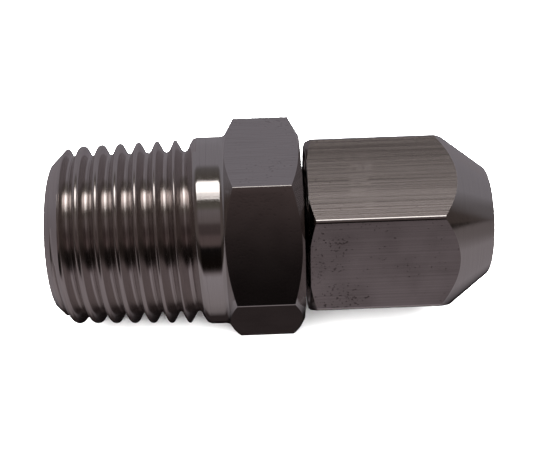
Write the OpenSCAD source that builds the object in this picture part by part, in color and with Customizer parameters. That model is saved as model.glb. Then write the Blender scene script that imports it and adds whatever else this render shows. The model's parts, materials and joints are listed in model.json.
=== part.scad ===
// Hose fitting with a clamping nut, in millimetres.
// The fitting lies on one flat of its hexagon: X runs along its axis with the pipe thread at the
// low end, Z is up, and the origin is on the axis, halfway between the two ends.

/* [Pipe thread] */
// Length of the coned blank of the thread, from the small end to the land
thread_len = 9.9; // [7:0.1:12]
// Pitch of the thread, 19 threads to the inch
thread_pitch = 1.337; // [0.907:0.001:1.6]
// Crest diameter at the gauge plane
gauge_d = 13.157; // [12.6:0.001:13.3]
// Distance of the gauge plane from the small end
gauge_len = 6; // [3:0.1:8]
// Taper of the crests: one part in this many, measured on the diameter
thread_taper = 16; // [12:1:32]
// Depth of the groove beside the land, below the crests
groove_depth = 0.88; // [0.6:0.01:0.95]
// Taper of the roots: one part in this many, measured on the diameter
root_taper = 80; // [16:1:200]
// Angle between the flanks of the groove
flank_angle = 55; // [50:1:60]
// Width of the flat at the bottom of the groove
root_flat = 0.14; // [0.08:0.01:0.24]
// Radius of the rounded crests, where their width leaves room for it
crest_round = 0.35; // [0.1:0.01:0.5]
// Distance from the small end to where the groove runs out
groove_len = 10.43; // [8:0.01:10.6]
// Direction in which the groove runs out, from +Y towards +Z
groove_end_angle = 320; // [0:1:359]
// Turn over which the groove loses its depth
runout_angle = 75; // [30:1:90]
// Height of the end chamfer, from the crests down to the flat ring at the small end
end_chamfer = 1.091; // [0.6:0.001:1.6]
// Angle between the end chamfer and the axis
end_chamfer_angle = 45; // [30:1:60]

/* [Land and hexagon] */
// Height of the plain land between thread and hexagon above the crests beside it
land_step = 0.09; // [0.02:0.01:0.3]
// Length of the land, up to the face of the hexagon
land_len = 2.3; // [1.5:0.1:5]
// Radius of the fillet between land and hexagon
land_fillet = 0.5; // [0.1:0.05:0.9]
// How far the flats of the body hexagon stand out from the land
hex_over = 0.21; // [0.05:0.01:1.5]
// Thickness of the body hexagon
hex_t = 5.47; // [4.2:0.01:8]
// How much smaller the chamfer circle on each face is than the width across flats
hex_face_cut = 0.6; // [0.2:0.05:1]
// Angle between the chamfers of both hexagons and their faces
hex_chamfer_angle = 30; // [15:1:35]

/* [Neck and nut thread] */
// Depth of the undercut neck below the crests of the nut thread
neck_cut = 0.77; // [0.5:0.01:1.2]
// Length of the neck
neck_len = 1.43; // [0.8:0.01:2]
// Radius of the fillets in the neck
neck_fillet = 0.3; // [0.05:0.05:0.4]
// Length of the male thread that the nut runs on
shank_len = 5; // [3:0.1:5.4]
// Chamfer at both ends of that thread
shank_chamfer = 0.6; // [0.2:0.05:0.6]

/* [Spigot] */
// Diameter of the spigot between the hose stop and the ridge
spigot_d = 4.2; // [3.8:0.05:4.4]
// Length of the spigot up to the rear of the ridge
spigot_len = 1.7; // [0.5:0.1:2]
// Diameter of the ridge that grips the hose
ridge_d = 5; // [4.6:0.05:5.2]
// Length of the rear slope of the ridge
ridge_rear_len = 1.2; // [0.5:0.1:1.5]
// Length of the crown of the ridge
ridge_crown_len = 0.3; // [0.1:0.05:0.4]
// Length of the front slope of the ridge, which the hose rides up
ridge_front_len = 1.4; // [0.8:0.1:1.6]
// Diameter of the straight tip, which is the inner diameter of the hose
tip_d = 4; // [3.6:0.05:4.2]
// Length of the straight tip
tip_len = 1.4; // [0.5:0.1:1.6]
// Chamfer on the end of the tip
tip_chamfer = 0.3; // [0.1:0.05:0.4]

/* [Bore] */
// Diameter of the wide bore behind the pipe thread
inlet_d = 7; // [5:0.1:7.6]
// Depth of the wide bore, without its drill point
inlet_len = 12.5; // [6:0.1:13]
// Angle of the drill point
drill_angle = 118; // [90:1:140]
// Chamfer at the mouth of the wide bore
inlet_chamfer = 0.3; // [0.1:0.05:0.6]
// Diameter of the narrow bore through neck and spigot
spigot_bore_d = 2.8; // [2:0.1:3]

/* [Nut] */
// Gap between the hexagon and the nut, as the fitting is stored
nut_gap = 0.38; // [0.1:0.01:1]
// Turn of the nut against the body hexagon
nut_turn = 17.6; // [0:0.1:60]
// How much smaller than the body hexagon the nut is across its flats
nut_af_step = 2; // [1:0.1:2.4]
// Length of the nut
nut_len = 12.95; // [12.4:0.05:16]
// How much larger than the nut's width across flats the chamfer circle on its open face is
nut_face_over = 0.4; // [-0.2:0.05:0.8]
// Distance from the open face to where the nose cone cuts the corners of the hexagon
nut_hex_len = 8.95; // [7:0.05:10]
// Diameter of the nose at its end
nose_d = 7.8; // [7.2:0.05:8.6]
// Radius of the rounded rim of the nose
nose_round = 0.2; // [0.05:0.05:0.3]
// Wall of the nut between its thread bore and its flats
nut_wall = 0.98; // [0.8:0.01:1.4]
// Radial clearance between the male thread and the plain bore of the nut
nut_clearance = 0.05; // [0.03:0.01:0.15]
// Chamfer at the open end of the nut
nut_chamfer = 0.4; // [0.1:0.05:0.6]
// Free depth in the nut beyond the end of the male thread
nut_run = 0.45; // [0.4:0.05:0.8]
// Step from the thread bore in to the wide end of the inner cone that clamps the hose
clamp_step = 0.72; // [0.3:0.01:1.2]
// Length of the inner cone
clamp_len = 2.6; // [1:0.1:3]
// Outer diameter of the hose
hose_d = 6; // [5.4:0.1:6.2]
// Clearance of the hose in the nose, on the diameter
hose_clearance = 0.2; // [0.05:0.05:0.4]
// Chamfer at the mouth of the hose hole
hose_chamfer = 0.3; // [0.05:0.05:0.4]

/* [Hidden] */
$fn = 96;

steel = [0.66, 0.64, 0.63];

// How far a cutting or stock outline runs past the shape it works on
past = 1;

// Stations along the axis
body_to_nut = thread_len + land_len + hex_t + nut_gap;
x_start = -(body_to_nut + nut_len) / 2;
x_land = x_start + thread_len;
x_hex = x_land + land_len;
x_neck = x_hex + hex_t;
x_shank = x_neck + neck_len;
x_stop = x_shank + shank_len;
x_ridge = x_stop + spigot_len;
x_crown = x_ridge + ridge_rear_len;
x_front = x_crown + ridge_crown_len;
x_tip = x_front + ridge_front_len;
x_end = x_tip + tip_len;
x_nut = x_neck + nut_gap;
x_nose = x_nut + nut_len;

// Land and hexagons: the land stands over the crests, and the flats over the land
land_r = crest_r(x_land) + land_step;
seam_r = land_r - 0.02;
hex_af = 2 * (land_r + hex_over);
hex_corner_r = hex_af / sqrt(3);
hex_face_r = (hex_af - hex_face_cut) / 2;
nut_af = hex_af - nut_af_step;
nut_corner_r = nut_af / sqrt(3);
nut_face_r = (nut_af + nut_face_over) / 2;
nose_slope = (nut_corner_r - nose_d / 2) / (nut_len - nut_hex_len);
nose_angle = atan(nose_slope);

// The nut's thread bore lies under its flats, and the male thread and the neck follow it
nut_bore_r = nut_af / 2 - nut_wall;
shank_r = nut_bore_r - nut_clearance;
neck_r = shank_r - neck_cut;

// Thread: the columns of its mesh, the points on the arc of a crest as shares of that arc, the
// least flat left on a crest, and the rows of points in each column
columns = 48;
end_face_r = crest_r(x_start) - end_chamfer;
blend_len = 0.4;
x_groove = x_start + groove_len;
x_seam = x_groove + 0.35 * thread_pitch;
grooves = ceil((groove_len + thread_pitch / 2) / thread_pitch);
arc_shares = [0, 0.5, 1];
crest_flat = 0.06;
rows_per_groove = 2 + 2 * len(arc_shares);
rows = rows_per_groove * (grooves + 1) + 2;

// Crest, root and chamfer radius of the thread at a station
function crest_r(x) = gauge_d / 2 + (x - x_start - gauge_len) / (2 * thread_taper);
function root_r(x) = crest_r(x_land) - groove_depth + (x - x_land) / (2 * root_taper);
function chamfer_r(x) = end_face_r + (x - x_start) * tan(end_chamfer_angle);

// Radius of the blank before its groove is cut: the coned crests, blended into the land
function blank_r(x) =
    x < x_land - blend_len ? crest_r(x)
    : x > x_land ? seam_r
    : seam_r - (seam_r - crest_r(x_land - blend_len)) * (x_land - x) / blend_len;

// Share of its full depth that the groove has, at a turn counted back from where it runs out
function fade(turn) = max(0, min(1, -turn / runout_angle));

// Radius that rounds a crest whose half-width is given, no larger than the groove is deep
function crest_arc_r(half_width, depth) =
    min(crest_round, (half_width - crest_flat / 2) / tan(45 - flank_angle / 4), depth);

// Corners of one side of a groove's section from crest to root, as [distance from the middle of
// the groove, drop below the blank]
function side_corners(depth) =
    let (
        lean = 90 - flank_angle / 2,
        bottom = root_flat / 2,
        top = bottom + depth * tan(flank_angle / 2),
        r = crest_arc_r(thread_pitch / 2 - top, depth),
        crest = top + r * tan(lean / 2)
    )
    concat(
        [for (share = arc_shares) [crest - r * sin(lean * share), r * (1 - cos(lean * share))]],
        [[bottom, depth]]
    );

// The corners of one groove where a column meets it, as [station, radius]
function groove_corners(t, k) =
    let (
        x = x_groove + thread_pitch * (t / 360 - k),
        depth = (blank_r(x) - root_r(x)) * fade(t - 360 * k),
        side = side_corners(depth),
        last = len(side) - 1
    )
    concat(
        [for (p = side) [x - p[0], blank_r(x - p[0]) - p[1]]],
        [for (i = [last:-1:0]) let (p = side[i]) [x + p[0], blank_r(x + p[0]) - p[1]]]
    );

// Keeps a corner between the end face and the seam, and under the end chamfer
function kept_corner(p) =
    p[0] <= x_start ? [x_start, end_face_r]
    : p[0] >= x_seam ? [x_seam, seam_r]
    : [p[0], min(p[1], chamfer_r(p[0]))];

// All the corners of one column, from the end face to the seam
function column(t) = concat(
    [[x_start, end_face_r]],
    [for (k = [grooves:-1:0], p = groove_corners(t, k)) kept_corner(p)],
    [[x_seam, seam_r]]
);

// A corner in space, on the side of the axis given by an angle from +Y towards +Z
function on_side(p, angle) = [p[0], p[1] * cos(angle), p[1] * sin(angle)];

// Row of the next column that a row meets: the helix climbs by one groove from the last column
// to the first
function next_row(j, i) = j < columns - 1 ? i : min(i + rows_per_groove, rows - 1);

// True helical thread with its land end, as one closed mesh
module pipe_thread() {
    points = [
        for (j = [0:columns - 1], p = column(360 * j / columns))
            on_side(p, groove_end_angle + 360 * j / columns)
    ];
    flanks = [
        for (j = [0:columns - 1], i = [0:rows - 2])
            let (
                next = (j + 1) % columns * rows,
                a = j * rows + i,
                b = a + 1,
                c = next + next_row(j, i + 1),
                d = next + next_row(j, i)
            )
            each [[a, b, c], [a, c, d]]
    ];
    open_flanks = [
        for (f = flanks)
            if (points[f[0]] != points[f[1]] && points[f[1]] != points[f[2]] && points[f[0]] != points[f[2]]) f
    ];
    small_end = [for (j = [0:columns - 1]) j * rows];
    land_end = [for (j = [columns - 1:-1:0]) j * rows + rows - 1];
    polyhedron(points = points, faces = concat(open_flanks, [small_end, land_end]), convexity = 10);
}

// Points on an arc about a centre, in the plane of an outline
function arc(centre, r, from, to, steps = 6) =
    [for (i = [0:steps]) let (a = from + (to - from) * i / steps) centre + r * [cos(a), sin(a)]];

// Turns an outline of [station, radius] points about the X axis
module turned(outline) {
    rotate([0, 90, 0])
        rotate_extrude()
            polygon([for (p = outline) [p[1], p[0]]]);
}

// Hexagonal bar stock along X, with a corner at a given angle from +Y towards +Z
module hex_bar(from, to, corner_r, turn) {
    translate([from, 0, 0])
        rotate([0, 90, 0])
            rotate([0, 0, turn + 30])
                cylinder(h = to - from, r = corner_r, $fn = 6);
}

// Fillet that leads from the land into the face of the hexagon, or straight into its chamfer
// where the land is wider than the chamfer circle
function land_corner() =
    let (
        flat = hex_face_r - land_r,
        bend = flat > 0 ? 90 : 90 - hex_chamfer_angle,
        r = flat > 0 ? min(land_fillet, flat) : land_fillet,
        x = flat > 0 ? x_hex : x_hex - flat * tan(hex_chamfer_angle)
    )
    arc([x - r * tan(bend / 2), land_r + r], r, -90, bend - 90);

// Outline of everything turned between the seam with the thread and the tip of the spigot
function body_outline() =
    let (
        wide_r = hex_corner_r + past / 2,
        chamfer_len = (wide_r - hex_face_r) * tan(hex_chamfer_angle)
    )
    concat(
        [[x_seam, 0], [x_seam, land_r]],
        land_corner(),
        [[x_hex + chamfer_len, wide_r], [x_neck - chamfer_len, wide_r], [x_neck, hex_face_r]],
        arc([x_neck + neck_fillet, neck_r + neck_fillet], neck_fillet, 180, 270),
        [
            [x_shank, neck_r],
            [x_shank + neck_cut, shank_r],
            [x_stop - shank_chamfer, shank_r],
            [x_stop, shank_r - shank_chamfer],
            [x_stop, spigot_d / 2],
            [x_ridge, spigot_d / 2],
            [x_crown, ridge_d / 2],
            [x_front, ridge_d / 2],
            [x_tip, tip_d / 2],
            [x_end - tip_chamfer, tip_d / 2],
            [x_end, tip_d / 2 - tip_chamfer],
            [x_end, 0]
        ]
    );

// Outline of the way through the body: chamfered mouth, wide bore, drill point, narrow bore
function bore_outline() =
    let (
        inlet_r = inlet_d / 2,
        bore_r = spigot_bore_d / 2,
        point_len = (inlet_r - bore_r) / tan(drill_angle / 2)
    )
    [
        [x_start - past, 0],
        [x_start - past, inlet_r + inlet_chamfer + past],
        [x_start + inlet_chamfer, inlet_r],
        [x_start + inlet_len, inlet_r],
        [x_start + inlet_len + point_len, bore_r],
        [x_end + past, bore_r],
        [x_end + past, 0]
    ];

// Outline of the outside of the nut: chamfered open end, corners, long nose with a round rim
function nut_outline() =
    let (
        wide_r = nut_corner_r + past / 2,
        chamfer_len = (wide_r - nut_face_r) * tan(hex_chamfer_angle),
        cone_x = x_nut + nut_hex_len - (wide_r - nut_corner_r) / nose_slope,
        rim = [x_nose - nose_round, nose_d / 2 - nose_round * tan((90 - nose_angle) / 2)]
    )
    concat(
        [[x_nut, 0], [x_nut, nut_face_r], [x_nut + chamfer_len, wide_r], [cone_x, wide_r]],
        arc(rim, nose_round, 90 - nose_angle, 0),
        [[x_nose, 0]]
    );

// Outline of the inside of the nut: thread bore, clamping cone, hose hole
function nut_bore_outline() =
    let (
        hose_r = (hose_d + hose_clearance) / 2,
        floor_x = x_stop + nut_run
    )
    [
        [x_nut - past, 0],
        [x_nut - past, nut_bore_r + nut_chamfer + past],
        [x_nut + nut_chamfer, nut_bore_r],
        [floor_x, nut_bore_r],
        [floor_x, nut_bore_r - clamp_step],
        [floor_x + clamp_len, hose_r],
        [x_nose - hose_chamfer, hose_r],
        [x_nose + past, hose_r + hose_chamfer + past],
        [x_nose + past, 0]
    ];

// Body of the fitting, turned from hexagonal bar in one piece
module fitting_body() {
    color(steel)
        difference() {
            union() {
                pipe_thread();
                intersection() {
                    turned(body_outline());
                    hex_bar(x_seam - past, x_end + past, hex_corner_r, 0);
                }
            }
            turned(bore_outline());
        }
}

// Clamping nut, turned from hexagonal bar in one piece
module hose_nut() {
    color(steel)
        difference() {
            intersection() {
                turned(nut_outline());
                hex_bar(x_nut - past, x_nose + past, nut_corner_r, nut_turn);
            }
            turned(nut_bore_outline());
        }
}

fitting_body();
hose_nut();
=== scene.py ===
# %% [markdown]
# A hose fitting turned from stainless steel bar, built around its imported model.
# The frame holds the two real pieces at their real size: the body with its pipe thread, and the
# clamping nut. This lesson models each of them again with finer threads, milled flats and rounded
# corners, and gives them turned, threaded and drawn finishes.

# %% Load the frame
import json

from math import atan2, cos, degrees, hypot, pi, radians, sin, sqrt, tan

import bmesh
import bpy
from mathutils import Matrix, Vector


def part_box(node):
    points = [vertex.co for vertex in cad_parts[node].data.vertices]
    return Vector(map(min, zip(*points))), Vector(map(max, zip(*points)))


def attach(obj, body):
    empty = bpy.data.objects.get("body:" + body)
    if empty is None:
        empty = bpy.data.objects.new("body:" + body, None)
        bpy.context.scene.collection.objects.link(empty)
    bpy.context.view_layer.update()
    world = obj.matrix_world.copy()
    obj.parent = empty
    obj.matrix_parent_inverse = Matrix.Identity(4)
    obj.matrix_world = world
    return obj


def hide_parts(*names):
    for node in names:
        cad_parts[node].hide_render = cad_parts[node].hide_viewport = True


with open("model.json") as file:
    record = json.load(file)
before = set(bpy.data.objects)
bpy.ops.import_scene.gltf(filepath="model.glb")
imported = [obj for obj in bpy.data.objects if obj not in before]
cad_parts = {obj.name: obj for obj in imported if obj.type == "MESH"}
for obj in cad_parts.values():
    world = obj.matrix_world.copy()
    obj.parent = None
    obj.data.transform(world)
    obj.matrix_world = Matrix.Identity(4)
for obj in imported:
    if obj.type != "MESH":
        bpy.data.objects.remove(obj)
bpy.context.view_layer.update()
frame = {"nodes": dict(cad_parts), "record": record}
print("nodes:", sorted(frame["nodes"]))

# %% [markdown]
# The fitting lies along X with its pipe thread at the low end. Everything that comes off a lathe
# is a list of stations along the axis and radii, so the stations come first. The ends of both
# pieces and the round holes are read from the frame, and the rest is given in millimetres.

# %% Read the stations
MM = 0.001

body_low, body_high = (Vector(corner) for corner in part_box("fitting_body"))
nut_low, nut_high = (Vector(corner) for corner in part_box("hose_nut"))
mounts = {m["name"]: m for m in frame["record"]["mounts"]}


def mount_r(name):
    """Radius of a round mount, in metres."""
    return mounts[name]["dims"]["r_mm"] * MM


x_start = body_low.x
x_end = body_high.x
x_nut = nut_low.x
x_nose = nut_high.x

thread_len = 9.9 * MM
land_len = 2.3 * MM
hex_t = 5.47 * MM
neck_len = 1.43 * MM
shank_len = 5.0 * MM

x_land = x_start + thread_len
x_hex = x_land + land_len
x_neck = x_hex + hex_t
x_shank = x_neck + neck_len
x_stop = x_shank + shank_len
print(f"body {(x_end - x_start) / MM:.2f} mm, nut {(x_nose - x_nut) / MM:.2f} mm long")

# %% [markdown]
# The hexagons. Both pieces were hexagonal bar before they were turned. The body lies on one of
# its flats, so its width across the flats is twice its height over the floor. The nut is one size
# smaller, and it stopped at an angle of its own when it was screwed on.

# %% Size the hexagons
hex_flat = -body_low.z
hex_face_r = hex_flat - 0.3 * MM
hex_corner_round = 0.13 * MM
nut_flat = 6.0 * MM
nut_corner_round = 0.3 * MM
nut_turn = 17.6


def corner_r(flat):
    """Distance of a sharp hexagon corner from the axis, from that of its flats."""
    return flat * 2 / sqrt(3)


hex_corner = corner_r(hex_flat)
nut_corner = corner_r(nut_flat)
print(f"hexagons of {2 * hex_flat / MM:.1f} and {2 * nut_flat / MM:.1f} mm across the flats")

# %% [markdown]
# The camera. The photograph was taken from a little above, at about 40 degrees, with the fitting
# nearly square to the lens and turned by two degrees in the picture. The camera aims at the axis,
# so its place is one distance along the line of sight, and its own roll tilts the picture.

# %% Place the camera
view_elevation = 40.0
view_distance = 73.1 * MM
view_roll = 2.1
view_yaw = 0.34
view_focal = 999.2
picture_width = 540
sensor_width = 36.0
aim_x = -0.1 * MM
axis_drop = 0.216 * MM


def place_camera():
    """A camera in front of and above the fitting, as the photograph has it."""
    data = bpy.data.cameras.new("studio_camera")
    data.sensor_width = sensor_width
    data.lens = view_focal * sensor_width / picture_width
    data.clip_start = 0.001
    data.clip_end = 10.0
    camera = bpy.data.objects.new("studio_camera", data)
    bpy.context.scene.collection.objects.link(camera)
    level = Matrix.Rotation(radians(90 - view_elevation), 4, "X")
    roll = Matrix.Rotation(radians(-view_roll), 4, "Z")
    yaw = Matrix.Rotation(radians(-view_yaw), 4, "Y")
    back = Matrix.Translation((0, axis_drop, view_distance))
    camera.matrix_world = Matrix.Translation((aim_x, 0, 0)) @ level @ yaw @ roll @ back
    bpy.context.scene.camera = camera
    return camera


camera = place_camera()
print("camera at", [round(c / MM, 1) for c in camera.matrix_world.translation], "mm")

# %% [markdown]
# Outlines. A lathe tool follows an outline, so each turned stretch begins as one: a chain of
# points, each a station and a radius. Round corners are short arcs in the chain, because no tool
# leaves a perfectly sharp edge, and the light rolls over a round one.

# %% Draw outlines
def arc(centre, r, start, end, steps=8):
    """Points on an arc about a centre (x, r), from one angle in degrees to another."""
    angles = [radians(start + (end - start) * i / steps) for i in range(steps + 1)]
    return [(centre[0] + r * cos(a), centre[1] + r * sin(a)) for a in angles]


def eased(points, r=0.05 * MM, steps=3):
    """The same outline with each inner corner that bends turned into a small arc."""
    out = [points[0]]
    for before, here, after in zip(points, points[1:], points[2:]):
        a, b, c = Vector(before), Vector(here), Vector(after)
        u, v = (a - b), (c - b)
        bend = pi - u.angle(v)
        reach = min(r * tan(bend / 2), 0.45 * u.length, 0.45 * v.length)
        if bend < radians(15) or reach <= 0:
            out.append(here)
            continue
        start, end = b + u.normalized() * reach, b + v.normalized() * reach
        for i in range(steps + 1):
            t = i / steps
            out.append(tuple((1 - t) ** 2 * start + 2 * t * (1 - t) * b + t**2 * end))
    out.append(points[-1])
    return out


print("an eased square corner has", len(eased([(0, 0), (MM, 0), (MM, MM)])) - 2, "points")

# %% [markdown]
# Spinning an outline round the axis gives the solid that the lathe would leave. A full turn needs
# use_merge, which welds the last step to the first. The body is too varied for one spin, so it is
# made in stretches that are open at both ends: they are gathered into one mesh, and bridging
# their open rings closes it.

# %% Spin outlines and join stretches
ROUND_STEPS = 240


def spin_outline(outline):
    """Spins an outline of (x, r) points about the axis."""
    bm = bmesh.new()
    chain = [bm.verts.new((x, 0, r)) for x, r in outline]
    edges = [bm.edges.new(pair) for pair in zip(chain, chain[1:])]
    bmesh.ops.spin(
        bm,
        geom=chain + edges,
        axis=(1, 0, 0),
        cent=(0, 0, 0),
        angle=2 * pi,
        steps=ROUND_STEPS,
        use_merge=True,
    )
    return bm


def radius(co):
    """Distance of a point from the axis."""
    return hypot(co.y, co.z)


def ring(bm, x, r_low=0.0, r_high=1.0, tolerance=2e-6):
    """The open edges of a mesh in the plane at station x, between two radii."""
    return [
        e
        for e in bm.edges
        if e.is_boundary
        and all(abs(v.co.x - x) < tolerance and r_low < radius(v.co) < r_high for v in e.verts)
    ]


def bridge(bm, first, second):
    """Joins two open rings with a strip of faces."""
    bmesh.ops.bridge_loops(bm, edges=first + second)


def cut_across(bm, place, normal, clear=False):
    """Cuts a mesh with a plane, and clears what lies beyond it if asked."""
    bmesh.ops.bisect_plane(
        bm,
        geom=bm.verts[:] + bm.edges[:] + bm.faces[:],
        dist=1e-8,
        plane_co=place,
        plane_no=normal,
        clear_outer=clear,
    )


def gather(*stretches):
    """Puts the meshes of several stretches into one."""
    whole = bmesh.new()
    for bm in stretches:
        mesh = bpy.data.meshes.new("stretch")
        bm.to_mesh(mesh)
        bm.free()
        whole.from_mesh(mesh)
        bpy.data.meshes.remove(mesh)
    return whole


print("steps round a turned stretch:", ROUND_STEPS)

# %% [markdown]
# A screw thread is a groove whose section climbs as it goes round. This cell gives the section of
# one groove, from the middle of one crest to the middle of the next, with a round root and round
# crests. Each point knows its row, so that a later step can set its depth.

# %% The section of a thread groove
ROOT_SHARES = (0.0, 0.5, 1.0)
CREST_SHARES = (1.0, 0.75, 0.5, 0.25, 0.0)


def flank_lean(flank):
    """How far a flank leans from the axis, from the angle between two flanks in degrees."""
    return radians(90 - flank / 2)


def half_section(depth, flat, flank, pitch, root_round, crest_round):
    """Half of a groove, as (distance from its middle, height above its root) rows.

    The crest is rounded as far as its width and the depth of the groove allow.
    """
    lean = flank_lean(flank)
    turn = tan(lean / 2)
    root_round = min(root_round, flat / 2 / turn, depth)
    root_x = flat / 2 - root_round * turn
    edge_x = flat / 2 + depth / tan(lean)
    crest_round = min(crest_round, 0.98 * (pitch / 2 - edge_x) / turn, depth)
    crest_x = edge_x + crest_round * turn
    root = [(lean * share, root_x, root_round) for share in ROOT_SHARES]
    rows = [(x + r * sin(a), r * (1 - cos(a))) for a, x, r in root]
    crest = [(lean * share, crest_x, crest_round) for share in CREST_SHARES]
    tops = [(x - r * sin(a), depth - r * (1 - cos(a))) for a, x, r in crest]
    rows.append(((rows[-1][0] + tops[0][0]) / 2, (rows[-1][1] + tops[0][1]) / 2))
    return rows + tops + [(pitch / 2, depth)]


HALF_ROWS = len(ROOT_SHARES) + 1 + len(CREST_SHARES) + 1
print("rows in half a groove:", HALF_ROWS)

# %% [markdown]
# The spin operator can climb as it turns: dvec moves the section along the axis by the same small
# amount at each step. One turn is spun and then duplicated, which is quicker than spinning many.
# The band is still a plain tube at this point, because all its rows start on top of each other.

# %% Spin the turns of a thread
def spin_turns(pitch, turns, r, steps):
    """A tube of many climbing turns, and the layer that holds the row of each of its points."""
    bm = bmesh.new()
    row_of = bm.verts.layers.int.new("row")
    chain = []
    for row in range(-HALF_ROWS + 1, HALF_ROWS):
        v = bm.verts.new((0, 0, r))
        v[row_of] = row
        chain.append(v)
    edges = [bm.edges.new(pair) for pair in zip(chain, chain[1:])]
    bmesh.ops.spin(
        bm,
        geom=chain + edges,
        axis=(1, 0, 0),
        cent=(0, 0, 0),
        dvec=(pitch / steps, 0, 0),
        angle=2 * pi,
        steps=steps,
    )
    one_turn = bm.verts[:] + bm.edges[:] + bm.faces[:]
    for i in range(1, turns):
        copy = bmesh.ops.duplicate(bm, geom=one_turn)["geom"]
        moved = [v for v in copy if isinstance(v, bmesh.types.BMVert)]
        bmesh.ops.translate(bm, vec=(i * pitch, 0, 0), verts=moved)
    return bm, row_of


# %% [markdown]
# Then every point goes to the depth that the groove has there, and both ends are cut square. A
# taper thread is deeper at one end and runs out at the other, so the radius of the blank and the
# depth of the groove are functions of the station and the turn.

# %% Cut the groove to its depth
def spin_thread(
    x_from, x_to, pitch, groove, blank, depth, section, inward=True, steps=ROUND_STEPS, trim=None
):
    """The band of a right-hand thread between two stations.

    groove gives one point of the groove's middle, as a station and an angle. blank(x) is the
    radius of the crests, depth(x, turn) how deep the groove is, with turn counted in degrees from
    that point, and section(depth) its rows. trim(x, r, turn) may lower a finished radius.
    """
    groove_x, groove_angle = groove
    first = int((x_from - groove_x) / pitch) - 2
    last = int((x_to - groove_x) / pitch) + 2
    bm, row_of = spin_turns(pitch, last - first, blank(x_from), steps)
    for v in bm.verts:
        turn = 360 * (first + round(v.co.x / pitch * steps) / steps)
        middle = groove_x + pitch * turn / 360
        deep = depth(middle, turn)
        out, height = section(deep)[abs(v[row_of])]
        x = middle + (out if v[row_of] > 0 else -out)
        cut = deep - height
        r = blank(x) - cut if inward else blank(x) + cut
        if trim:
            r = trim(x, r, turn)
        angle = radians(groove_angle + turn)
        v.co = (x, r * cos(angle), r * sin(angle))
    bmesh.ops.remove_doubles(bm, verts=bm.verts, dist=1e-7)
    for x, out in ((x_from, -1), (x_to, 1)):
        cut_across(bm, (x, 0, 0), (out, 0, 0), clear=True)
    print(f"thread of {pitch / MM:.3f} mm pitch: {last - first} turns before trimming")
    return bm


# %% [markdown]
# A thread starts with a chamfer, so that it finds its way into its mate. The chamfer is a cone
# that cuts through crests and flanks alike. No operator cuts with a cone, but sliding every point
# along the axis by its height makes the cone a flat plane, which one straight cut can follow.

# %% Chamfer a thread
def cut_chamfer(bm, x0, r0, slope, inward=True):
    """Turns a chamfer on a thread: a cone through (x0, r0) that climbs by slope."""
    for v in bm.verts:
        v.co.x -= (radius(v.co) - r0) / slope
    cut_across(bm, (x0, 0, 0), (1, 0, 0))
    for v in bm.verts:
        r = radius(v.co)
        v.co.x += (r - r0) / slope
        cone = r0 + (v.co.x - x0) * slope
        if (cone < r) == inward:
            v.co.y *= cone / r
            v.co.z *= cone / r


# %% [markdown]
# The pipe thread: 19 threads to the inch on a cone of one in sixteen. Its roots lie on a flatter
# cone, so that the crests are broad at the small end and narrow beside the land, where the tool
# leaves the groove within a quarter of a turn. The groove's place is given by the point where it
# ends. The band goes on past that point to a seam in the land, where a plain turned stretch
# takes over.

# %% Size the pipe thread
pipe_pitch = 1.337 * MM
pipe_flank = 55
pipe_taper = 1 / 16
pipe_root_taper = 1 / 80
pipe_root_flat = 0.3 * MM
pipe_root_round = 0.25 * MM
pipe_crest_round = 0.28 * MM
pipe_least_depth = 0.25 * MM
gauge_r = 13.157 * MM / 2
gauge_len = 6.0 * MM
root_end_r = 11.64 * MM / 2
land_r = 13.58 * MM / 2
end_face_r = 5.3 * MM
blend_len = 0.4 * MM
runout_turn = 75.0
groove_x = x_start + 10.43 * MM
groove_angle = 320.0
x_seam = groove_x + 0.6 * pipe_pitch


def pipe_blank_r(x):
    """Radius of the crests, which climb to the land over a short blend."""
    if x > x_land:
        return land_r
    cone = gauge_r + (x - x_start - gauge_len) * pipe_taper / 2
    if x < x_land - blend_len:
        return cone
    return cone + (land_r - cone) * (x - x_land + blend_len) / blend_len


def pipe_depth(x, turn):
    """Depth of the groove, which fades to nothing where the tool leaves it."""
    root_r = root_end_r + (x - x_land) * pipe_root_taper / 2
    fade = max(0.0, min(1.0, -turn / runout_turn))
    return (pipe_blank_r(x) - root_r) * fade


def section_rows(depth, least, *shape):
    """Rows of a groove. One that is shallower than the least keeps its width and is flattened."""
    full = max(depth, least)
    return [(x, h * depth / full) for x, h in half_section(full, *shape)]


def pipe_section(depth):
    return section_rows(
        depth,
        pipe_least_depth,
        pipe_root_flat,
        pipe_flank,
        pipe_pitch,
        pipe_root_round,
        pipe_crest_round,
    )


print(f"pipe groove {pipe_depth(x_start, -999) / MM:.2f} mm deep at the end")

# %% [markdown]
# The edge of the land beside the last turn is rounded too, and that edge climbs with the groove.
# So the round is cut from a distance to the groove at the same angle. It comes in and fades out
# within the same part of a turn as the groove itself.

# %% Round the shoulder of the land
shoulder_round = 0.5 * MM


def round_shoulder(x, r, turn):
    """Lowers a radius to the round edge of the land beside the last turn of the groove."""
    last = turn if turn <= 0 else turn - 360
    weight = min(1.0, -last / runout_turn, (last + 360) / runout_turn)
    middle = groove_x + pipe_pitch * last / 360
    lean = flank_lean(pipe_flank)
    edge = middle + pipe_root_flat / 2 + pipe_depth(middle, last) / tan(lean)
    inside = edge + shoulder_round * tan(lean / 2) - x
    if weight <= 0 or inside <= 0 or inside > shoulder_round * sin(lean):
        return r
    limit = land_r - shoulder_round + sqrt(shoulder_round**2 - inside**2)
    return r - max(0.0, r - limit) * weight


print(f"shoulder rounded by {shoulder_round / MM:.1f} mm")

# %% [markdown]
# The nut runs on a fine straight thread with a pitch of one millimetre. The nut hides it, and it
# comes into sight when the nut is screwed off, so both of its halves are real threads. They share
# one helix, and the nut's half is larger by a small clearance.

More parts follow.
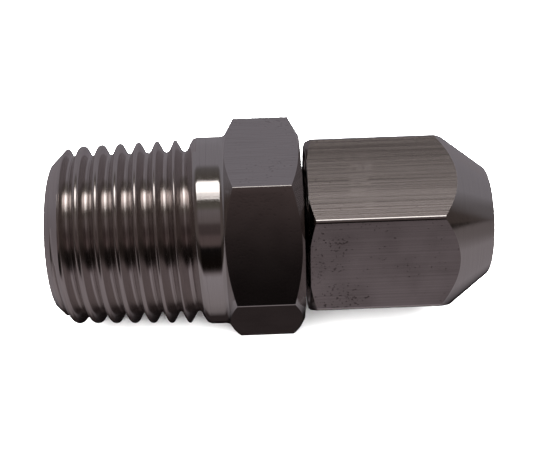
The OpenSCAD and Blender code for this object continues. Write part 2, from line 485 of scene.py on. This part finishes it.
# %% Size the nut thread
nut_pitch = 1.0 * MM
nut_flank = 60
nut_root_flat = 0.16 * MM
nut_root_round = 0.08 * MM
nut_crest_round = 0.05 * MM
nut_least_depth = 0.2 * MM
nut_thread_steps = 96
shank_r = 9.94 * MM / 2
shank_groove = 0.55 * MM
shank_chamfer = 0.6 * MM
nut_bore_r = shank_r + 0.05 * MM
nut_thread_depth = 0.42 * MM


def shank_section(depth):
    return section_rows(
        depth,
        nut_least_depth,
        nut_root_flat,
        nut_flank,
        nut_pitch,
        nut_root_round,
        nut_crest_round,
    )


print(f"nut thread {2 * shank_r / MM:.2f} mm across, bore {2 * nut_bore_r / MM:.2f} mm")

# %% [markdown]
# The body is one piece: pipe thread, land and hexagon, neck, nut thread, spigot, and the bore
# back to the small end. This outline takes the land, the hexagon and the neck. The fillet between
# land and hexagon is the nose of the turning tool, and the chamfers of the hexagon are cones that
# run out past its corners, where the flats will cut them. The value strip is the width of the
# narrow joins between stretches, and near is how close to a corner its round may begin.

# %% Outline of the land, the hexagon and the neck
wide_r = hex_corner + 0.5 * MM
hex_rise = tan(radians(30))
neck_r = 4.2 * MM
strip = 0.02 * MM
near = 0.1 * MM


def land_outline():
    """From the seam with the pipe thread to the start of the nut thread."""
    fillet = 0.5 * MM
    neck_fillet = 0.3 * MM
    chamfer_len = (wide_r - hex_face_r) * hex_rise
    corner_x = x_hex + (land_r - hex_face_r) * hex_rise
    fillet_x = corner_x - fillet * tan(radians(30))
    near_r = wide_r - near / hex_rise
    back = [
        (x_neck - chamfer_len + near, near_r),
        (x_neck, hex_face_r),
        (x_neck, neck_r + neck_fillet),
    ]
    return (
        [(x_seam + strip, land_r)]
        + arc((fillet_x, land_r + fillet), fillet, -90, -30)
        + [(x_hex + chamfer_len - near, near_r), (x_hex + chamfer_len, wide_r)]
        + [(x_neck - chamfer_len, wide_r)]
        + eased(back)
        + arc((x_neck + neck_fillet, neck_r + neck_fillet), neck_fillet, 180, 270)[1:]
        + [(x_shank - near, neck_r), (x_shank, neck_r + strip)]
    )


print("points in the outline of the land:", len(land_outline()))

# %% [markdown]
# The hose is pushed over the spigot, past a ridge that holds it, up to the face at the end of the
# nut thread. The bore is wide in the thread, ends in the cone of the drill, and goes on narrow
# through the spigot. One outline runs round the tip and back through the bore.

# %% Outline of the spigot and the bore
spigot_r = 2.1 * MM
ridge_r = 2.5 * MM
tip_r = mount_r("hose_spigot")
bore_r = mount_r("spigot_bore")
inlet_r = mount_r("inlet_bore")
inlet_len = 12.5 * MM
drill_point = 118
edge_chamfer = 0.3 * MM
x_ridge = x_stop + 1.7 * MM
x_crown = x_ridge + 1.2 * MM
x_front = x_crown + 0.3 * MM
x_tip = x_front + 1.4 * MM
point_len = (inlet_r - bore_r) / tan(radians(drill_point / 2))


def spigot_outline():
    """From the end of the nut thread round the tip and back through the bore to the small end."""
    return eased(
        [
            (x_stop, shank_r - shank_chamfer - strip),
            (x_stop, spigot_r),
            (x_ridge, spigot_r),
            (x_crown, ridge_r),
            (x_front, ridge_r),
            (x_tip, tip_r),
            (x_end - edge_chamfer, tip_r),
            (x_end, tip_r - edge_chamfer),
            (x_end, bore_r),
            (x_start + inlet_len + point_len, bore_r),
            (x_start + inlet_len, inlet_r),
            (x_start + edge_chamfer, inlet_r),
            (x_start, inlet_r + edge_chamfer),
            (x_start, end_face_r - strip),
        ],
        r=0.12 * MM,
    )


print(f"bores of {2 * inlet_r / MM:.1f} and {2 * bore_r / MM:.1f} mm")

# %% [markdown]
# Flats. A hexagon is what is left when six flat cuts meet the round outline. A cut with one plane
# clears what lies outside, and the hole it leaves is filled with one face, whose curved ends are
# the arcs where chamfer and flat meet. The corners of drawn bar are never sharp: a fan of narrow
# cuts rounds each of them, and the round catches the light.

# %% Mill the flats
CORNER_CUTS = 8
FLAT_AREA = 8 * MM * MM


def cut_flat(bm, angle, flat):
    """Clears what lies beyond a plane, at an angle from +Y to +Z, and closes the hole."""
    normal = Vector((0, cos(radians(angle)), sin(radians(angle))))
    cut_across(bm, normal * flat, normal, clear=True)
    rim = [
        e
        for e in bm.edges
        if e.is_boundary and all(abs(v.co.dot(normal) - flat) < 1e-7 for v in e.verts)
    ]
    bmesh.ops.holes_fill(bm, edges=rim, sides=0)


def mill_flats(bm, flat, turn, corner_round):
    """Cuts six flats, with a corner at the angle turn, and rounds the corners."""
    for i in range(6):
        cut_flat(bm, turn + 30 + 60 * i, flat)
    centre = corner_r(flat - corner_round)
    for i in range(6):
        for k in range(CORNER_CUTS):
            lean = 60 * (k + 0.5) / CORNER_CUTS - 30
            cut_flat(bm, turn + 60 * i + lean, centre * cos(radians(lean)) + corner_round)


print("cuts for one hexagon:", 6 + 6 * CORNER_CUTS)

# %% [markdown]
# A finished mesh becomes an object at the origin. Turned faces are shaded smooth, and an edge
# stays sharp where two faces meet at more than a small angle or where a flat begins. The flats
# are found by their area, and they and the pipe thread get a finish of their own.

# %% Finish a mesh
SHARP_ANGLE = radians(24)
NO_THREAD = -1.0


def finish_mesh(bm, name, materials, x_thread=NO_THREAD):
    """Shades a mesh and makes it an object at the origin.

    The materials are the turned steel, the steel of the flats and that of a pipe thread, which
    ends at the station x_thread.
    """
    bmesh.ops.recalc_face_normals(bm, faces=bm.faces)
    flats = {f for f in bm.faces if f.calc_area() > FLAT_AREA}
    for f in bm.faces:
        f.smooth = True
        f.material_index = 1 if f in flats else 2 if f.calc_center_median().x < x_thread else 0
    for e in bm.edges:
        across = e.calc_face_angle(0) if len(e.link_faces) == 2 else pi
        e.smooth = across < SHARP_ANGLE and not any(f in flats for f in e.link_faces)
    open_count = sum(1 for e in bm.edges if not e.is_manifold)
    mesh = bpy.data.meshes.new(name)
    bm.to_mesh(mesh)
    bm.free()
    for material in materials:
        mesh.materials.append(material)
    obj = bpy.data.objects.new(name, mesh)
    bpy.context.scene.collection.objects.link(obj)
    triangles = sum(len(p.vertices) - 2 for p in mesh.polygons)
    print(f"{name}: {triangles} triangles, {open_count} open edges")
    return obj


# %% [markdown]
# Materials are made of shader nodes. These helpers add one node each and link it, so that a
# finish reads like a formula. Either side of a sum or a mix may be a plain value.

# %% Add shader nodes
def node(tree, kind, **values):
    """Adds a node and sets its inputs by name. Names with a capital letter are inputs."""
    made = tree.nodes.new(kind)
    for key, value in values.items():
        if key[0].isupper():
            made.inputs[key.replace("_", " ")].default_value = value
        else:
            setattr(made, key, value)
    return made


def feed(tree, value, socket):
    """Gives a socket a number, a colour or the output of another node."""
    if isinstance(value, (int, float)):
        socket.default_value = value
    elif isinstance(value, tuple):
        socket.default_value = (*value, 1)
    else:
        tree.links.new(value, socket)


def combine(tree, operation, first, second):
    """A sum, a product or the like of two values."""
    made = node(tree, "ShaderNodeMath", operation=operation)
    feed(tree, first, made.inputs[0])
    feed(tree, second, made.inputs[1])
    return made.outputs["Value"]


def plus(tree, first, second):
    return combine(tree, "ADD", first, second)


def minus(tree, first, second):
    return combine(tree, "SUBTRACT", first, second)


def times(tree, first, second):
    return combine(tree, "MULTIPLY", first, second)


def remap(tree, value, low, high, to_low, to_high):
    """Maps one range of a value to another, held at both ends."""
    made = node(
        tree, "ShaderNodeMapRange", From_Min=low, From_Max=high, To_Min=to_low, To_Max=to_high
    )
    feed(tree, value, made.inputs["Value"])
    return made.outputs["Result"]


def mix(tree, factor, first, second, blend_type="MIX"):
    """A colour between two colours, or their product."""
    made = node(tree, "ShaderNodeMix", data_type="RGBA", blend_type=blend_type)
    feed(tree, factor, made.inputs["Factor"])
    low, high = [socket for socket in made.inputs if socket.type == "RGBA"]
    feed(tree, first, low)
    feed(tree, second, high)
    return next(socket for socket in made.outputs if socket.type == "RGBA")


# %% [markdown]
# Marks on steel follow the tool that left them, so every pattern is laid out in the piece's own
# Object coordinates. Noise that is stretched along one axis makes lines, and ramps along the axes
# say where a mark is found.

# %% Lay out marks on a piece
def stretched_noise(tree, per_metre, detail=2.0, offset=(0, 0, 0)):
    """Noise whose grains have their own size along X, Y and Z, given as grains to a metre."""
    coords = node(tree, "ShaderNodeTexCoord")
    mapping = node(tree, "ShaderNodeMapping", Scale=per_metre, Location=offset)
    noise = node(tree, "ShaderNodeTexNoise", Scale=1.0, Detail=detail)
    tree.links.new(coords.outputs["Object"], mapping.inputs["Vector"])
    tree.links.new(mapping.outputs["Vector"], noise.inputs["Vector"])
    return noise.outputs["Fac"]


def ramp_along(tree, axis, low, high):
    """0 to 1 along one axis of the piece, between two places."""
    coords = node(tree, "ShaderNodeTexCoord")
    parts = node(tree, "ShaderNodeSeparateXYZ")
    tree.links.new(coords.outputs["Object"], parts.inputs["Vector"])
    return remap(tree, parts.outputs[axis], low, high, 0, 1)


def box_mask(tree, spans, soft):
    """1 inside a box given as spans along named axes, with soft sides, and 0 outside it."""
    mask = 1.0
    for axis, (low, high) in spans.items():
        mask = times(tree, mask, ramp_along(tree, axis, low - soft, low))
        mask = times(tree, mask, ramp_along(tree, axis, high + soft, high))
    return mask


def fade(tree, value, strength):
    """Draws a value towards one half, the more the lower the strength is."""
    return plus(tree, times(tree, minus(tree, value, 0.5), strength), 0.5)


# %% [markdown]
# Bare steel has no colour but its own: it mirrors the room, and a finish only blurs and tints the
# mirror. The lathe leaves fine rings round the axis, and the drawing die leaves straight lines
# along the flats. Dirt in the lines darkens them. The lower flats were rubbed and pitted after
# that: the lines fade there, and small dark pits take over.

# %% Mix a steel finish
DARK = (0.10, 0.08, 0.075)
LINES_LEFT = 0.12
STAIN = 0.3
PIT_GRAINS = (5000, 6500, 6500)
PATCH_GRAINS = (350, 350, 350)
RUB_GRAINS = (1500, 1500, 1500)
RUB_EDGE = 0.4 * MM


def pits_and_stains(tree, drawn, rubbed):
    """Where the pits are, and how dark the stain is. Both crowd where drawn is low."""
    spots = stretched_noise(tree, PIT_GRAINS, detail=1.0, offset=(7, 5, 3))
    patches = stretched_noise(tree, PATCH_GRAINS, detail=2.0, offset=(2, 9, 4))
    thin = plus(tree, drawn, ramp_along(tree, "X", *rubbed)) if rubbed else drawn
    crowd = minus(tree, times(tree, patches, 0.5), times(tree, thin, 0.08))
    pits = remap(tree, plus(tree, spots, crowd), 0.86, 0.93, 0, 1)
    stain = times(tree, remap(tree, patches, 0.4, 0.7, 0, STAIN), minus(tree, 1.0, drawn))
    return pits, stain


def steel(
    name,
    colour,
    lines,
    rough,
    line_height,
    line_shade,
    worn=None,
    pitting=0.0,
    rubbed=None,
    scuff=None,
):
    """Bare steel with fine lines: lines are the grains to a metre along X, Y and Z.

    worn gives the height range over which the lines fade and the pits begin, pitting how dark the
    pits are, rubbed the stations between which they thin out, and scuff the box where the surface
    is rubbed pale.
    """
    material = bpy.data.materials.new(name)
    material.use_nodes = True
    tree = material.node_tree
    shader = tree.nodes["Principled BSDF"]
    shader.inputs["Metallic"].default_value = 1.0
    fine = stretched_noise(tree, lines, detail=1.0)
    broad = stretched_noise(tree, tuple(n / 3 for n in lines), detail=1.0, offset=(3, 1, 2))
    if worn:
        drawn = remap(tree, ramp_along(tree, "Z", *worn), 0, 1, LINES_LEFT, 1)
        fine, broad = (fade(tree, value, drawn) for value in (fine, broad))
    height = times(tree, plus(tree, fine, broad), 0.5)
    blur = remap(tree, height, 0.35, 0.65, rough * 0.85, rough * 1.15)
    tree.links.new(blur, shader.inputs["Roughness"])
    dirt = remap(tree, fine, 0.47, 0.64, 0.0, line_shade)
    if worn:
        pits, stain = pits_and_stains(tree, drawn, rubbed)
        dirt = combine(tree, "MAXIMUM", plus(tree, dirt, stain), times(tree, pits, pitting))
        height = minus(tree, height, pits)
    if scuff:
        rubs = remap(tree, stretched_noise(tree, RUB_GRAINS, offset=(4, 4, 1)), 0.4, 0.6, 0, 1)
        pale = times(tree, box_mask(tree, scuff, RUB_EDGE), rubs)
        dirt = minus(tree, dirt, times(tree, pale, 0.6))
    tree.links.new(mix(tree, dirt, colour, DARK), shader.inputs["Base Color"])
    if line_height:
        bump = node(tree, "ShaderNodeBump", Strength=1.0, Distance=line_height)
        tree.links.new(height, bump.inputs["Height"])
        tree.links.new(bump.outputs["Normal"], shader.inputs["Normal"])
    return material


# %% [markdown]
# Four finishes. The land, the chamfers and the nose are turned and almost bright. The pipe thread
# is a little duller. The flats of the body are smooth, and those of the nut are plain drawn bar
# with strong lines, which is why the nut looks browner than the body.

# %% Four steel finishes
turned_steel = steel(
    "turned_steel", (0.56, 0.53, 0.52), (30000, 300, 300), 0.11, 0.00006 * MM, 0.05
)
thread_steel = steel("thread_steel", (0.535, 0.49, 0.477), (9000, 300, 300), 0.19, 0, 0.08)
body_flat_steel = steel(
    "body_flat_steel",
    (0.53, 0.50, 0.495),
    (300, 12000, 12000),
    0.13,
    0.0003 * MM,
    0.1,
    worn=(6.6 * MM, 6.9 * MM),
    pitting=0.25,
)
nut_flat_steel = steel(
    "nut_flat_steel",
    (0.4, 0.358, 0.351),
    (45, 11000, 11000),
    0.235,
    0.001 * MM,
    0.5,
    worn=(4.3 * MM, 4.8 * MM),
    pitting=0.9,
    rubbed=(3.0 * MM, 6.5 * MM),
    scuff={"X": (5.6 * MM, 6.8 * MM), "Z": (5.3 * MM, 6.0 * MM)},
)
print("finishes:", [m.name for m in (turned_steel, thread_steel, body_flat_steel, nut_flat_steel)])

# %% [markdown]
# The threads of the body. Both are cut with the same helper, the pipe thread on its taper and the
# nut thread straight. The pipe thread ends in a wide chamfer at the small end of the fitting, and
# the nut thread has a chamfer at either end.

# %% Cut the threads of the body
pipe_thread = spin_thread(
    x_start,
    x_seam,
    pipe_pitch,
    (groove_x, groove_angle),
    pipe_blank_r,
    pipe_depth,
    pipe_section,
    trim=round_shoulder,
)
cut_chamfer(pipe_thread, x_start, end_face_r, 1.0)
nut_thread = spin_thread(
    x_shank,
    x_stop,
    nut_pitch,
    (x_shank, 0),
    lambda x: shank_r,
    lambda x, turn: shank_groove,
    shank_section,
    steps=nut_thread_steps,
)
cut_chamfer(nut_thread, x_shank, neck_r, 1.0)
cut_chamfer(nut_thread, x_stop, shank_r - shank_chamfer, -1.0)

# %% [markdown]
# The body is gathered from its stretches. The flats are milled before that, while the mesh is
# small and each cut is quick. Every stretch leaves an open ring at both ends, and a narrow strip
# of faces joins it to the next, so the piece is closed all the way round.

# %% Build the body
thread_finish_len = 0.45 * MM

land_and_hexagon = spin_outline(land_outline())
mill_flats(land_and_hexagon, hex_flat, 0, hex_corner_round)
bm = gather(pipe_thread, nut_thread, land_and_hexagon, spin_outline(spigot_outline()))
stop_r = shank_r - shank_chamfer - strip / 2
neck_split = neck_r + strip / 2
end_split = end_face_r - strip / 2
bridge(bm, ring(bm, x_seam), ring(bm, x_seam + strip))
bridge(bm, ring(bm, x_shank, 0, neck_split), ring(bm, x_shank, neck_split))
bridge(bm, ring(bm, x_stop, stop_r), ring(bm, x_stop, 0, stop_r))
bridge(bm, ring(bm, x_start, end_split), ring(bm, x_start, 0, end_split))
body = finish_mesh(
    bm, "turned_body", [turned_steel, body_flat_steel, thread_steel], x_land + thread_finish_len
)
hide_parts("fitting_body")
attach(body, "body")

# %% [markdown]
# The nut. Its outline runs from the floor of the thread through the clamping cone, which pinches
# the hose, and the hose hole, over the rim of the nose and back along the outside. The long cone
# of the nose starts where it meets the corners of the hexagon.

# %% Outline of the nut
nose_r = 3.9 * MM
nose_round = 0.2 * MM
nut_hex_len = 8.95 * MM
nut_face_r = 6.2 * MM
hose_r = 3.1 * MM
clamp_r = 4.3 * MM
clamp_len = 2.6 * MM
mouth_r = nut_bore_r + 0.55 * MM
x_floor = x_stop + 0.45 * MM


def nut_outline():
    """From the floor of the thread out through the nose and back to the mouth of the thread."""
    wide = nut_corner + 0.5 * MM
    chamfer_len = (wide - nut_face_r) * hex_rise
    slope = (nut_corner - nose_r) / (x_nose - x_nut - nut_hex_len)
    nose_angle = degrees(atan2(slope, 1))
    cone_x = x_nut + nut_hex_len - (wide - nut_corner) / slope
    rim = (x_nose - nose_round, nose_r - nose_round * tan(radians((90 - nose_angle) / 2)))
    inside = eased(
        [
            (x_floor, nut_bore_r - strip),
            (x_floor, clamp_r),
            (x_floor + clamp_len, hose_r),
            (x_nose - edge_chamfer, hose_r),
            (x_nose, hose_r + edge_chamfer),
            (x_nose, rim[1] - 0.01 * MM),
        ],
        r=0.1 * MM,
    )
    outside = arc(rim, nose_round, 0, 90 - nose_angle)
    outside += [(cone_x, wide), (x_nut + chamfer_len, wide)]
    mouth = eased(
        [
            (x_nut + chamfer_len - near, wide - near / hex_rise),
            (x_nut, nut_face_r),
            (x_nut, mouth_r + strip),
        ]
    )
    return inside + outside + mouth


print("points in the outline of the nut:", len(nut_outline()))

# %% [markdown]
# The female thread is the same band as before, cut outwards from the bore. It runs out before the
# floor, where a tap can't reach.

# %% Build the nut
tap_stop = 0.5 * MM
tap_runout = 0.6 * MM


def nut_groove_depth(x, turn):
    """Depth of the female groove, which runs out before the floor of the thread."""
    return nut_thread_depth * max(0.0, min(1.0, (x_floor - tap_stop - x) / tap_runout))


female_thread = spin_thread(
    x_nut,
    x_floor,
    nut_pitch,
    (x_shank, 0),
    lambda x: nut_bore_r,
    nut_groove_depth,
    shank_section,
    inward=False,
    steps=nut_thread_steps,
)
cut_chamfer(female_thread, x_nut, mouth_r, -1.0, inward=False)
nose_and_hexagon = spin_outline(nut_outline())
mill_flats(nose_and_hexagon, nut_flat, nut_turn, nut_corner_round)
bm = gather(female_thread, nose_and_hexagon)
mouth_split = mouth_r + strip / 2
floor_split = nut_bore_r - strip / 2
bridge(bm, ring(bm, x_nut, 0, mouth_split), ring(bm, x_nut, mouth_split))
bridge(bm, ring(bm, x_floor, floor_split), ring(bm, x_floor, 0, floor_split))
nut = finish_mesh(bm, "turned_nut", [turned_steel, nut_flat_steel])
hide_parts("hose_nut")
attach(nut, "nut")

# %% [markdown]
# The floor is plain and pale. The steel doesn't mirror it, because the room below gives what the
# steel mirrors from there, with the fitting's shadow on the floor painted into it as dark bands,
# so the two can be set apart.

# %% Lay the floor
floor_size = 2.0
floor_paint = bpy.data.materials.new("pale_floor")
floor_paint.use_nodes = True
floor_shader = floor_paint.node_tree.nodes["Principled BSDF"]
floor_shader.inputs["Base Color"].default_value = (0.85, 0.85, 0.85, 1)
floor_shader.inputs["Roughness"].default_value = 0.9

bm = bmesh.new()
bmesh.ops.create_grid(bm, x_segments=1, y_segments=1, size=floor_size / 2)
bmesh.ops.translate(bm, vec=(0, 0, body_low.z), verts=bm.verts)
floor_mesh = bpy.data.meshes.new("floor")
bm.to_mesh(floor_mesh)
bm.free()
floor_mesh.materials.append(floor_paint)
floor = bpy.data.objects.new("floor", floor_mesh)
bpy.context.scene.collection.objects.link(floor)
floor.visible_glossy = False
print(f"floor {-body_low.z / MM:.1f} mm under the axis")

# %% [markdown]
# The room. Bare steel looks like whatever stands round it, so the room is a set of soft bands of
# colour. ROOM gives them by elevation in degrees: 0 is the horizon in front, 90 is straight up,
# -90 is straight down, and 180 and -180 are the horizon behind. It holds for what the turned
# rounds and the flats mirror. SIDES holds for what lies far to either side, which chamfers and
# flanks mirror, and ENDS tints everything by how far it lies along X.

# %% Choose the colours of the room
ROOM = (
    (-180, (0.27, 0.255, 0.28)),
    (-152, (0.20, 0.18, 0.20)),
    # From -142 to -90, fading out by -78, the bands are painted shade: the shadow that the fitting
    # casts on the floor under it.
    (-142, (0.04, 0.035, 0.035)),
    (-134, (0.008, 0.006, 0.006)),
    (-114, (0.008, 0.006, 0.006)),
    (-106, (0.036, 0.028, 0.028)),
    (-90, (0.033, 0.025, 0.025)),
    (-78, (0.22, 0.195, 0.20)),
    (-60, (0.29, 0.26, 0.27)),
    (-18, (0.335, 0.305, 0.325)),
    (-13.5, (0.21, 0.18, 0.19)),
    (-10, (0.05, 0.04, 0.04)),
    (-6, (0.006, 0.004, 0.003)),
    (18.5, (0.007, 0.006, 0.006)),
    (23.5, (0.125, 0.095, 0.092)),
    (32, (0.12, 0.09, 0.09)),
    (36, (0.07, 0.053, 0.053)),
    (46, (0.075, 0.058, 0.058)),
    (50, (0.155, 0.13, 0.13)),
    (63, (0.185, 0.16, 0.165)),
    (68, (0.12, 0.112, 0.095)),
    (74, (0.08, 0.07, 0.06)),
    (106, (0.08, 0.07, 0.06)),
    (120, (0.13, 0.12, 0.12)),
    (126, (0.27, 0.255, 0.28)),
    (180, (0.27, 0.255, 0.28)),
)
SIDES = (
    (-180, (0.27, 0.25, 0.27)),
    (-14, (0.30, 0.27, 0.28)),
    (-4, (0.035, 0.028, 0.025)),
    (18, (0.035, 0.028, 0.025)),
    (28, (0.11, 0.09, 0.085)),
    (95, (0.11, 0.09, 0.085)),
    (125, (0.26, 0.25, 0.27)),
    (180, (0.27, 0.255, 0.28)),
)
ENDS = (
    (-1.0, (0.75, 0.74, 0.74)),
    (-0.9, (1.0, 1.0, 1.0)),
    (0.93, (1.0, 1.0, 1.0)),
    (0.98, (0.6, 0.58, 0.56)),
    (1.0, (0.6, 0.58, 0.56)),
)
BACKDROP = (1.0, 1.0, 1.0)
print("bands in the room:", len(ROOM), "in front and above,", len(SIDES), "to the sides")

# %% [markdown]
# The world shader looks up those bands by direction. Its texture coordinate gives the direction
# as a vector of length one, the angle of its Y and Z parts is the elevation, and its X part says
# how far to the side it points. Past the floor, the camera itself sees only a white backdrop.

# %% Build the room
SIDES_BEGIN = 0.35
SIDES_ALONE = 0.65


def ramp(tree, value, rows, low, high):
    """Colours along a value between 0 and 1, with the stops given between low and high."""
    made = tree.nodes.new("ShaderNodeValToRGB")
    stops = made.color_ramp.elements
    while len(stops) > 1:
        stops.remove(stops[-1])
    for i, (place, colour) in enumerate(rows):
        share = (place - low) / (high - low)
        stop = stops[0] if i == 0 else stops.new(share)
        stop.position = share
        stop.color = (*colour, 1)
    tree.links.new(value, made.inputs["Fac"])
    return made.outputs["Color"]


world = bpy.data.worlds.new("room")
world.use_nodes = True
room = world.node_tree
direction = node(room, "ShaderNodeTexCoord")
parts = node(room, "ShaderNodeSeparateXYZ")
room.links.new(direction.outputs["Generated"], parts.inputs["Vector"])
front = times(room, parts.outputs["Y"], -1.0)
elevation = combine(room, "ARCTAN2", parts.outputs["Z"], front)
climb = remap(room, elevation, -pi, pi, 0, 1)
aside = combine(room, "ABSOLUTE", parts.outputs["X"], 0.0)
side = remap(room, aside, SIDES_BEGIN, SIDES_ALONE, 0, 1)
along = remap(room, parts.outputs["X"], -1, 1, 0, 1)
middle_bands, side_bands = (ramp(room, climb, rows, -180, 180) for rows in (ROOM, SIDES))
seen = mix(room, side, middle_bands, side_bands)
tinted = mix(room, 1.0, seen, ramp(room, along, ENDS, -1, 1), blend_type="MULTIPLY")
from_camera = node(room, "ShaderNodeLightPath").outputs["Is Camera Ray"]
backdrop = mix(room, from_camera, tinted, BACKDROP)
room.links.new(backdrop, room.nodes["Background"].inputs["Color"])
bpy.context.scene.world = world
print("nodes in the room:", len(room.nodes))

# %% [markdown]
# The lights. One long softbox hangs over the fitting and makes the bright bands on the land and
# the thread. It is dimmer towards the camera and has a thin bright rim there, so it is made of
# three strips, each set by the elevations of its two edges. A large fill light, which the steel
# doesn't mirror, brightens the floor and lifts the shadow on it.

# %% Hang the lights
box_height = 0.4
box_width = 0.42
box_tint = (1.0, 0.97, 0.95)
box_strips = (
    ("overhead_main", 86.0, 100.5, 2.5),
    ("overhead_dim", 80.0, 86.0, 1.3),
    ("overhead_rim", 77.5, 79.0, 2.0),
)
fill_size = 2.0
fill_height = 0.7
fill_radiance = 14.0


def softbox(name, width, depth, place, radiance):
    """A rectangular light that faces down, as bright as asked in every direction."""
    data = bpy.data.lights.new(name, "AREA")
    data.shape = "RECTANGLE"
    data.size = width
    data.size_y = depth
    data.energy = radiance * pi * width * depth
    light = bpy.data.objects.new(name, data)
    light.location = place
    bpy.context.scene.collection.objects.link(light)
    return light


for name, low, high, radiance in box_strips:
    front_y, back_y = (-box_height / tan(radians(edge)) for edge in (low, high))
    middle_y = (front_y + back_y) / 2
    strip_light = softbox(name, box_width, back_y - front_y, (0, middle_y, box_height), radiance)
    strip_light.data.color = box_tint
fill = softbox("fill", fill_size, fill_size, (0, 0, fill_height), fill_radiance)
fill.visible_glossy = False
bpy.context.scene.view_settings.view_transform = "Standard"
print("lights:", [light.name for light in bpy.data.lights])
